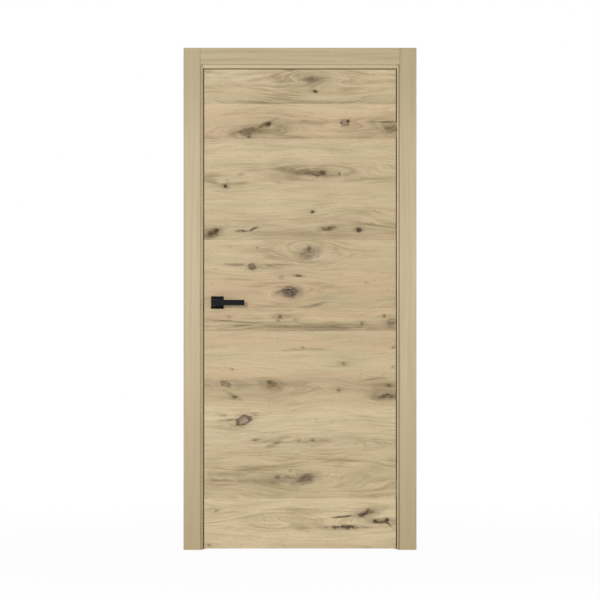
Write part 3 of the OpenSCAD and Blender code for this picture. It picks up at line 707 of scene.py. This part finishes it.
def straight_oak(name, codes, upright, seed, hidden_side=(0, 0, 0), figure=1.0, seam_shade=None):
    """Matt lacquered straight oak on board, bare at its sawn ends and on the side towards the wall."""
    material, tree, shader = new_material(name)
    place = millimetres(tree)
    parts = put(tree, "ShaderNodeSeparateXYZ", (place,)).node.outputs
    along, side = ("Z", "X") if upright else ("X", "Z")
    depth = put(tree, "ShaderNodeMath", (parts["Y"], parts[side]), operation="ADD")
    wave_spot = put(tree, "ShaderNodeVectorMath", (place, frame_wave), operation="MULTIPLY")
    wave = put(tree, "ShaderNodeTexNoise", {"Vector": wave_spot, "Scale": 1.0, "Detail": 1.0})
    across = put(tree, "ShaderNodeMath", (wave, frame_wave_height, depth), operation="MULTIPLY_ADD")
    longer = put(tree, "ShaderNodeMath", (parts[along], grain_stretch), operation="MULTIPLY")
    lines = put(tree, "ShaderNodeGroup", (longer, across, seed), node_tree=grain).node.outputs
    pores = put(tree, "ShaderNodeGroup", (parts[along], depth, seed), node_tree=pore)

    base = tones_by_height(tree, parts["Z"], 0, leaf_top, codes)
    green_share = put(tree, "ShaderNodeMath", (lines["Tone"], frame_green), operation="MULTIPLY")
    toned = mixed(tree, green_share, base, green_tint)
    drawn = 0.0
    for layer, share in frame_shares.items():
        drawn = put(tree, "ShaderNodeMath", (lines[layer], share * figure, drawn), operation="MULTIPLY_ADD")
    grained = mixed(tree, drawn, toned, line_colour)
    pore_share = put(tree, "ShaderNodeMath", (pores, frame_pores), operation="MULTIPLY")
    veneered = mixed(tree, pore_share, grained, ring_colour)
    # Painted shade: a thin dark line down the jamb, next to the casing, where the seam is in shade
    if seam_shade:
        seam_at, seam_darkness = seam_shade
        off_seam = put(tree, "ShaderNodeMath", (parts["X"], seam_at), operation="SUBTRACT")
        seam_far = put(tree, "ShaderNodeMath", (off_seam,), operation="ABSOLUTE")
        seam_shade_share = put(tree, "ShaderNodeMapRange", (seam_far, *seam_shade_edge, seam_darkness, 0.0))
        veneered = mixed(tree, seam_shade_share, veneered, halo_and_seam_shade_colour)

    facing = put(tree, "ShaderNodeNewGeometry", out="True Normal")
    to_wall = put(tree, "ShaderNodeVectorMath", (facing, hidden_side), out="Value", operation="DOT_PRODUCT")
    end_axis = (0, 0, 1) if upright else (1, 0, 0)
    sawn_end = put(tree, "ShaderNodeVectorMath", (facing, end_axis), out="Value", operation="DOT_PRODUCT")
    end_either = put(tree, "ShaderNodeMath", (sawn_end,), operation="ABSOLUTE")
    bare_most = put(tree, "ShaderNodeMath", (to_wall, end_either), operation="MAXIMUM")
    bare = put(tree, "ShaderNodeMath", (bare_most, 0.9), operation="GREATER_THAN")
    tree.links.new(mixed(tree, bare, veneered, core_board), shader.inputs["Base Color"])
    bump = put(tree, "ShaderNodeBump", {"Height": pores, "Strength": 0.2, "Distance": pore_depth},
               invert=True)
    tree.links.new(bump, shader.inputs["Normal"])
    shader.inputs["Roughness"].default_value = lacquer_roughness
    shader.inputs["IOR"].default_value = wood_ior
    return material


frame_oak = {
    "front_hinge_casing": straight_oak("oak_casing_front_right", casing_falloff_tones, True, 21, (0, 1, 0), 1.6),
    "front_latch_casing": straight_oak("oak_casing_front_left", casing_falloff_tones, True, 22, (0, 1, 0), 1.5),
    "front_head_casing": straight_oak("oak_casing_front_head", head_casing_tones, False, 23,
                                      (0, 1, 0), 2.4),
    "rear_hinge_casing": straight_oak("oak_casing_rear_right", casing_falloff_tones, True, 24, (0, -1, 0), 1.6),
    "rear_latch_casing": straight_oak("oak_casing_rear_left", casing_falloff_tones, True, 25, (0, -1, 0), 1.5),
    "rear_head_casing": straight_oak("oak_casing_rear_head", head_casing_tones, False, 26,
                                     (0, -1, 0), 2.4),
    # The upright jambs carry a painted shade line by the casing, at a place and with a darkness
    "hinge_jamb": straight_oak("oak_jamb_right", jamb_falloff_tones, True, 27, (1, 0, 0), seam_shade=(414.5, 0.6)),
    "latch_jamb": straight_oak("oak_jamb_left", jamb_falloff_tones, True, 28, (-1, 0, 0), seam_shade=(-409, 0.45)),
    "head_jamb": straight_oak("oak_jamb_head", head_tones, False, 29, (0, 0, 1)),
    "hinge_stop": straight_oak("oak_stop_right", jamb_falloff_tones, True, 30),
    "latch_stop": straight_oak("oak_stop_left", jamb_falloff_tones, True, 31),
    "head_stop": straight_oak("oak_stop_head", head_tones, False, 32),
    "hinge_edge_lipping": straight_oak("oak_lipping_right", jamb_falloff_tones, True, 33),
    "latch_edge_lipping": straight_oak("oak_lipping_left", jamb_falloff_tones, True, 34),
    "top_edge_lipping": straight_oak("oak_lipping_top", head_tones, False, 35),
    "bottom_edge_lipping": straight_oak("oak_lipping_bottom", head_tones, False, 36),
}
print("made", len(frame_oak), "frame materials")

# %% [markdown]
# ## Metal, rubber and bare board
#
# The handle is zinc with a black powder coat, which cures to a fine pebbled skin and throws back
# little light. The hinges are satin zinc castings, the faceplate and the screws are brushed and
# bright steel, the strike is steel with a brown bronze finish, the latch is black plastic, and the
# seal is brown extruded rubber with a dusty look.
#
# All of them have one pattern, their grit: pebbles, brush lines or dust. So one function makes them,
# and takes the grit's size in millimetres and how far it is stretched.


# %% Materials for the rest
coat_gloss = 0.08
# Painted highlight on the lever's edges: the radius that finds the edges, the range of the edge mask, and
# its fade to the right
highlight_edge_radius = 3.0
highlight_edge_range = (0.995, 0.85, 0.0, 1.0)
highlight_end_range = (handle_x - 8, handle_x + 12, 1.0, 0.2)
grit_range = (0.3, 0.7)
grit_polish = 0.06


def gritty_finish(name, code, roughness, metallic, grit, bump_depth, stretch=(1, 1, 1), spread=0.1):
    """A finish whose only pattern is its grit, by a size in millimetres."""
    material, tree, shader = new_material(name)
    spot = put(tree, "ShaderNodeVectorMath", (millimetres(tree), stretch), operation="DIVIDE")
    noise = put(tree, "ShaderNodeTexNoise", {"Vector": spot, "Scale": 1 / grit, "Detail": 2.0})
    tone = put(tree, "ShaderNodeMapRange", (noise, *grit_range, 1 - spread, 1 + spread))
    colour = put(tree, "ShaderNodeVectorMath", {0: linear(code)[:3], "Scale": tone}, operation="SCALE")
    tree.links.new(colour, shader.inputs["Base Color"])
    shine = (roughness - grit_polish, roughness + grit_polish)
    rough = put(tree, "ShaderNodeMapRange", (noise, *grit_range, *shine))
    tree.links.new(rough, shader.inputs["Roughness"])
    bump = put(tree, "ShaderNodeBump", {"Height": noise, "Strength": 0.3, "Distance": bump_depth})
    tree.links.new(bump, shader.inputs["Normal"])
    shader.inputs["Metallic"].default_value = metallic
    return material


# Powder coat: matt pebbles that are nearly black, and only a weak gloss
powder_coat = gritty_finish("black_powder_coat", "#0A0706", 0.5, 0.0, 0.9, 0.0001)
# The levers get this coat too, and a painted highlight on their edges is added below
highlit_coat = gritty_finish("black_powder_coat_highlit", "#0D0D12", 0.45, 0.0, 0.9, 0.0001)
for coat in (powder_coat, highlit_coat):
    coat.node_tree.nodes["Principled BSDF"].inputs["Specular IOR Level"].default_value = coat_gloss

# Painted highlight: the edges of the lever are painted a light grey, most strongly at the end left of
# the handle's axis; the edges are where a rounded normal parts from the true one
tree = highlit_coat.node_tree
shader = tree.nodes["Principled BSDF"]
coat_colour = shader.inputs["Base Color"].links[0].from_socket
rounded = put(tree, "ShaderNodeBevel", {"Radius": highlight_edge_radius * MM}, samples=8)
true_normal = put(tree, "ShaderNodeNewGeometry", out="True Normal")
alike = put(tree, "ShaderNodeVectorMath", (rounded, true_normal), out="Value", operation="DOT_PRODUCT")
edges = put(tree, "ShaderNodeMapRange", (alike, *highlight_edge_range))
along_lever = put(tree, "ShaderNodeSeparateXYZ", (millimetres(tree),))
highlight_end_share = put(tree, "ShaderNodeMapRange", (along_lever, *highlight_end_range))
edge_highlight = put(tree, "ShaderNodeMath", (edges, highlight_end_share), operation="MULTIPLY")
tree.links.new(mixed(tree, edge_highlight, coat_colour, linear("#8E8B94")), shader.inputs["Base Color"])

# Castings and sheet: the colour of the metal itself, soft from tumbling or brushing
satin_zinc = gritty_finish("satin_zinc_casting", "#8F8A80", 0.42, 0.9, 0.6, 0.00005)
brushed_steel = gritty_finish("brushed_steel", "#A19D95", 0.34, 1.0, 0.35, 0.00003, stretch=(1, 1, 40))
bronzed_steel = gritty_finish("bronzed_steel", "#85765F", 0.45, 0.8, 0.5, 0.00003, stretch=(1, 1, 20))
screw_steel = gritty_finish("zinc_plated_steel", "#A8A6A0", 0.3, 1.0, 0.8, 0.00003)
# Plastic, rubber, timber and fibre: matt, with hardly any light of their own
black_plastic = gritty_finish("black_moulded_plastic", "#1C1B1B", 0.5, 0.0, 0.8, 0.00005)
seal_rubber = gritty_finish("brown_seal_rubber", "#4A3D31", 0.75, 0.0, 1.5, 0.0001)
softwood = gritty_finish("planed_softwood", "#D2B98C", 0.7, 0.0, 3.0, 0.0001, stretch=(1, 1, 30))
fibre_board = gritty_finish("fibre_board", "#8A6A45", 0.85, 0.0, 1.2, 0.0001)
print("made the metal, rubber and board finishes")

# %% Dress the solids
finishes = dict(frame_oak)
finishes["strike_plate"] = bronzed_steel
for node in ("front_lever", "rear_lever"):
    finishes[node] = highlit_coat
for node in ("front_rosette", "rear_rosette"):
    finishes[node] = powder_coat
for level in ("upper", "lower"):
    finishes[level + "_hinge_frame_half"] = satin_zinc
    finishes[level + "_hinge_leaf_half"] = satin_zinc
    finishes[level + "_hinge_links"] = brushed_steel
for node in ("lock_faceplate", "lock_case", "spindle"):
    finishes[node] = brushed_steel
for node in ("latch_bolt", "strike_dust_box"):
    finishes[node] = black_plastic
for node in ("hinge_seal", "latch_seal", "head_seal"):
    finishes[node] = seal_rubber
for node in ("hinge_stile", "latch_stile", "top_rail", "bottom_rail", "leaf_infill"):
    finishes[node] = softwood
for node in ("front_face", "rear_face"):
    finishes[node] = fibre_board

for node, material in finishes.items():
    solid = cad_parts[node]
    solid.data.materials.clear()
    solid.data.materials.append(material)
print("dressed", len(finishes), "of", len(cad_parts), "solids")

# %% [markdown]
# ## Laying the boards
#
# Each face of the leaf is a fibre board with the oak slices glued on it. A board is a thin plate as
# wide as the leaf, and its edges are eased a little, so the joints catch the light as fine lines
# when someone stands close. The board behind the handle has the hole for the spindle drilled
# through it, by a Boolean modifier whose result is kept as a plain mesh.

# %% Plates, holes and pieces
veneer_thick = 0.6
arris = 0.25
handle_hole = 9.0


def kept_mesh(piece):
    """Runs the modifiers of a piece, keeps their result as its mesh, and removes them."""
    seen = piece.evaluated_get(bpy.context.evaluated_depsgraph_get())
    piece.data = bpy.data.meshes.new_from_object(seen)
    piece.modifiers.clear()


def plate(name, low, high, material, ease):
    """A flat plate between two corners in millimetres, with eased edges."""
    mesh = bmesh.new()
    bmesh.ops.create_cube(mesh, size=1.0)
    low, high = at(*low), at(*high)
    for point in mesh.verts:
        point.co = [low[i] if point.co[i] < 0 else high[i] for i in range(3)]
    bmesh.ops.bevel(mesh, geom=mesh.edges, offset=ease * MM, segments=1, affect="EDGES")
    data = bpy.data.meshes.new(name)
    mesh.to_mesh(data)
    mesh.free()
    data.materials.append(material)
    piece = bpy.data.objects.new(name, data)
    bpy.context.scene.collection.objects.link(piece)
    return piece


def drill(piece, x, z, radius):
    """Drills a round hole through a piece, from front to back."""
    bpy.ops.mesh.primitive_cylinder_add(vertices=48, radius=radius * MM, depth=0.2, location=at(x, 0, z),
                                        rotation=(math.radians(90), 0, 0))
    bit = bpy.context.object
    hole = piece.modifiers.new("hole", "BOOLEAN")
    hole.operation = "DIFFERENCE"
    hole.object = bit
    kept_mesh(piece)
    bpy.data.objects.remove(bit)


# %% Veneer boards and their backing
for side, face_y, inward in (("front", 0.0, 1), ("rear", leaf_back, -1)):
    glue_y = face_y + inward * veneer_thick
    back_y = face_y + inward * face_thick
    backing = plate(side + "_backing_board", (-leaf_half, min(glue_y, back_y), leaf_foot),
                    (leaf_half, max(glue_y, back_y), leaf_top), fibre_board, 0.1)
    drill(backing, handle_x, handle_z, handle_hole)
    laid = [backing]
    for name, board in boards.items():
        slice_low = (-leaf_half, min(face_y, glue_y), board["low"])
        slice_high = (leaf_half, max(face_y, glue_y), board["high"])
        laid.append(plate(side + "_" + name, slice_low, slice_high, veneers[name], arris))
        if board["low"] < handle_z < board["high"]:
            drill(laid[-1], handle_x, handle_z, handle_hole)
    for piece in laid:
        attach(piece, "leaf")
        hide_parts(side + "_face")
print("laid", 2 * len(boards), "boards")

# %% [markdown]
# ## Screws
#
# Countersunk screws hold the hinges, the strike and the faceplate. They are all alike but for their
# size, so Geometry Nodes make them: one head is a cone with a cross cut into it, a copy of it stands
# on each point of a row, turned to face out of the plate, and each is spun by chance, because no
# two screws in a door stop at the same angle. The tree ends with real copies and their material.

# %% Node tree: countersunk screws
screw_inputs = [
    ("Points", "Geometry", None), ("Head Width", "Float", 0.009), ("Neck Width", "Float", 0.005),
    ("Head Depth", "Float", 0.002), ("Slot Length", "Float", 0.005), ("Slot Width", "Float", 0.001),
    ("Slot Depth", "Float", 0.001), ("Facing", "Vector", (1, 0, 0)), ("Seed", "Int", 0),
    ("Steel", "Material", None),
]
screw_outputs = [("Screws", "Geometry")]
screws, given, screws_end = new_group("Countersunk screws", screw_inputs, screw_outputs, "GeometryNodeTree")

# The head: a cone that is widest at its face, which lies in the plane of the points
head_radius = put(screws, "ShaderNodeMath", (given["Head Width"], 0.5), operation="MULTIPLY")
neck_radius = put(screws, "ShaderNodeMath", (given["Neck Width"], 0.5), operation="MULTIPLY")
cone = put(screws, "GeometryNodeMeshCone", {"Vertices": 32, "Radius Top": head_radius,
                                            "Radius Bottom": neck_radius, "Depth": given["Head Depth"]})
down = put(screws, "ShaderNodeMath", (given["Head Depth"], -1.0), operation="MULTIPLY")
sunk = put(screws, "ShaderNodeCombineXYZ", {"Z": down})
head = put(screws, "GeometryNodeTransform", {"Geometry": cone, "Translation": sunk})

# The cross: two bars at right angles, cut out of the face
slot_tall = put(screws, "ShaderNodeMath", (given["Slot Depth"], 2.0), operation="MULTIPLY")
bar_size = put(screws, "ShaderNodeCombineXYZ", (given["Slot Length"], given["Slot Width"], slot_tall))
cross_size = put(screws, "ShaderNodeCombineXYZ", (given["Slot Width"], given["Slot Length"], slot_tall))
bar = put(screws, "GeometryNodeMeshCube", {"Size": bar_size})
cross_bar = put(screws, "GeometryNodeMeshCube", {"Size": cross_size})
slotted = put(screws, "GeometryNodeMeshBoolean", {"Mesh 1": head, "Mesh 2": bar},
              operation="DIFFERENCE")
crossed = put(screws, "GeometryNodeMeshBoolean", {"Mesh 1": slotted, "Mesh 2": cross_bar},
              operation="DIFFERENCE")

# One copy a point, turned outwards and spun by chance
outwards = put(screws, "FunctionNodeAlignRotationToVector", {"Vector": given["Facing"]}, axis="Z")
chance = put(screws, "FunctionNodeRandomValue", {"Min": 0.0, "Max": math.pi / 2, "Seed": given["Seed"]},
             out="Value", data_type="FLOAT")
spin = put(screws, "FunctionNodeAxisAngleToRotation", {"Axis": (0, 0, 1), "Angle": chance})
turned = put(screws, "FunctionNodeRotateRotation", (outwards, spin), rotation_space="LOCAL")
copies = put(screws, "GeometryNodeInstanceOnPoints",
             {"Points": given["Points"], "Instance": crossed, "Rotation": turned})
real = put(screws, "GeometryNodeRealizeInstances", {"Geometry": copies})
plated = put(screws, "GeometryNodeSetMaterial", {"Geometry": real, "Material": given["Steel"]})
screws.links.new(plated, screws_end.inputs["Screws"])
print("screw tree has", len(screws.nodes), "nodes")

# %% Screws in the hinges, the strike and the faceplate
hinge_screw = {"head": 9.4, "neck": 4.8, "slot": 5.4, "inset": 0.25}
plate_screw = {"head": 6.2, "neck": 3.8, "slot": 3.8, "inset": 0.15}
slot_share = 0.16


def drive_screws(name, body, size, places, facing, seed):
    """Sets screws of one size at a row of places on one body, and keeps them as one plain mesh."""
    dots = bpy.data.meshes.new(name)
    dots.from_pydata([tuple(place - Vector(facing) * size["inset"] * MM) for place in places], [], [])
    piece = bpy.data.objects.new(name, dots)
    bpy.context.scene.collection.objects.link(piece)
    values = {
        "Head Width": size["head"] * MM, "Neck Width": size["neck"] * MM,
        "Head Depth": (size["head"] - size["neck"]) / 2 * MM, "Slot Length": size["slot"] * MM,
        "Slot Width": size["slot"] * slot_share * MM, "Slot Depth": size["slot"] / 4 * MM,
        "Facing": facing, "Seed": seed, "Steel": screw_steel,
    }
    nodes = piece.modifiers.new("screws", "NODES")
    nodes.node_group = screws
    for socket in screws.interface.items_tree:
        if socket.name in values:
            nodes[socket.identifier] = values[socket.name]
    kept_mesh(piece)
    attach(piece, body)
    return piece


def screw_places(node, outward, inset, y=None):
    """Two places near the ends of an upright plate, on the face that looks outward along X."""
    low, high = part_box(node)
    x = high.x if outward > 0 else low.x
    y = (low.y + high.y) / 2 if y is None else y
    return [Vector((x, y, z)) for z in (low.z + inset * MM, high.z - inset * MM)]


flange_low, flange_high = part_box("upper_hinge_frame_half")
latch_low, latch_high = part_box("latch_bolt")
face_low, face_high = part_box("lock_faceplate")
hinge_inset = (flange_high.y - flange_low.y) / 2 / MM - 1
face_inset = (face_high.y - face_low.y) / 2 / MM
strike_inset = 11
latch_middle_y = (latch_low.y + latch_high.y) / 2

jamb_holes = [place for level in ("upper", "lower") for place in
              screw_places(level + "_hinge_frame_half", -1, hinge_inset)]
leaf_holes = [place for level in ("upper", "lower") for place in
              screw_places(level + "_hinge_leaf_half", 1, hinge_inset)]
drive_screws("jamb_hinge_screws", "frame", hinge_screw, jamb_holes, (-1, 0, 0), 3)
drive_screws("leaf_hinge_screws", "leaf", hinge_screw, leaf_holes, (1, 0, 0), 5)
drive_screws("strike_screws", "frame", plate_screw,
             screw_places("strike_plate", 1, strike_inset, latch_middle_y), (1, 0, 0), 8)
drive_screws("faceplate_screws", "leaf", plate_screw,
             screw_places("lock_faceplate", -1, face_inset), (-1, 0, 0), 11)
print("drove", len(jamb_holes) + len(leaf_holes) + 4, "screws")

# %% [markdown]
# ## The grub screws of the levers
#
# Each lever is held on the spindle by a grub screw from below, out of sight in the neck. It is a
# short rod with a hexagonal socket, so a cylinder with six sides is cut out of one with many.

# %% Grub screws
neck_radius = 10
grub_radius = 2.4
socket_radius = 1.45
socket_depth = 1.6
grub_length = 3.0
grub_off = 13

for side, y in (("front", -grub_off), ("rear", leaf_back + grub_off)):
    under_neck = handle_z - neck_radius
    sizes = ((24, grub_radius, grub_length), (6, socket_radius, 2 * socket_depth))
    lowest = (under_neck - 0.05 + grub_length / 2, under_neck - 0.05)
    made = []
    for (corners, radius_mm, length), z in zip(sizes, lowest):
        bpy.ops.mesh.primitive_cylinder_add(vertices=corners, radius=radius_mm * MM, depth=length * MM)
        bpy.context.object.data.transform(Matrix.Translation(at(handle_x, y, z)))
        made.append(bpy.context.object)
    grub, socket_bit = made
    cut = grub.modifiers.new("socket", "BOOLEAN")
    cut.operation = "DIFFERENCE"
    cut.object = socket_bit
    kept_mesh(grub)
    bpy.data.objects.remove(socket_bit)
    grub.name = side + "_grub_screw"
    grub.data.materials.clear()
    grub.data.materials.append(screw_steel)
    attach(grub, "handle")
print("made 2 grub screws")

# %% [markdown]
# ## Floor and light
#
# The floor is pale and keeps the shadow of the door. It shines white to the camera, so the picture
# has a plain ground, but sends no extra light onto the wood. A soft lamp stands far to the left and
# a little above, as the small shadow below and beside the lever shows, and a weaker, lower one
# evens out the other side. Two more do the same behind the door.

# %% Floor
floor_size = 14
white_range = (1.0, 3.0, 0.96, 1.0)


def seen_rays(tree):
    """1 for the rays that reach the eye straight, or by a mirror or a pane, and 0 for the rest."""
    rays = put(tree, "ShaderNodeLightPath").node.outputs
    mirrored = put(tree, "ShaderNodeMath", (rays["Is Camera Ray"], rays["Is Glossy Ray"]),
                   operation="MAXIMUM")
    return put(tree, "ShaderNodeMath", (mirrored, rays["Is Transmission Ray"]), operation="MAXIMUM")


ground = bpy.data.meshes.new("floor")
reach = floor_size / 2
corners = ((-reach, -reach), (reach, -reach), (reach, reach), (-reach, reach))
ground.from_pydata([(x + door_middle.x, y, 0) for x, y in corners], [], [(0, 1, 2, 3)])
floor = bpy.data.objects.new("floor", ground)
bpy.context.scene.collection.objects.link(floor)
floor_paint = bpy.data.materials.new("pale_floor")
floor_paint.use_nodes = True
tree = floor_paint.node_tree
tree.nodes.clear()
matt = put(tree, "ShaderNodeBsdfDiffuse", {"Color": linear("#E8E6E2")})
glow = put(tree, "ShaderNodeEmission", {"Color": linear("#FFFFFF"), "Strength": 1.0})
clear_rays = seen_rays(tree)
ground_place = put(tree, "ShaderNodeTexCoord", out="Object")
ground_from = put(tree, "ShaderNodeVectorMath", (ground_place, door_middle), operation="SUBTRACT")
ground_far = put(tree, "ShaderNodeVectorMath", (ground_from,), out="Value", operation="LENGTH")
whiteness = put(tree, "ShaderNodeMapRange", (ground_far, *white_range), interpolation_type="SMOOTHSTEP")
white_share = put(tree, "ShaderNodeMath", (clear_rays, whiteness), operation="MULTIPLY")
put(tree, "ShaderNodeOutputMaterial", {
    "Surface": put(tree, "ShaderNodeMixShader", (white_share, matt, glow)),
})
ground.materials.append(floor_paint)
print("floor", floor_size, "m wide")

# %% World and lamps
world = bpy.data.worlds.new("studio")
bpy.context.scene.world = world
world.use_nodes = True
tree = world.node_tree
tree.nodes.clear()
clear_rays = seen_rays(tree)
dim = put(tree, "ShaderNodeBackground", {"Color": linear("#FFFFFF"), "Strength": 0.42})
white = put(tree, "ShaderNodeBackground", {"Color": linear("#FFFFFF"), "Strength": 1.0})
put(tree, "ShaderNodeOutputWorld", {
    "Surface": put(tree, "ShaderNodeMixShader", (clear_rays, dim, white)),
})


def lamp(name, place, aim, size, watts):
    """A soft square lamp at a place, turned towards another, in metres from the door's middle."""
    data = bpy.data.lights.new(name, "AREA")
    data.shape = "SQUARE"
    data.size = size
    data.energy = watts
    made = bpy.data.objects.new(name, data)
    made.location = Vector(place) + door_middle
    made.rotation_euler = (Vector(aim) - Vector(place)).to_track_quat("-Z", "Y").to_euler()
    bpy.context.scene.collection.objects.link(made)
    return made


lamp("key", (-2.0, -8.0, 2.4), (0, 0, 1.0), 1.7, 281)
lamp("fill", (3.6, -5.0, 0.4), (0, 0, 0.8), 2.4, 70)
lamp("rear_key", (2.0, 8.0, 2.4), (0, 0, 1.0), 1.7, 281)
lamp("rear_fill", (-3.6, 5.0, 0.4), (0, 0, 0.8), 2.4, 70)
bpy.context.scene.view_settings.view_transform = "Standard"
print("stage set")
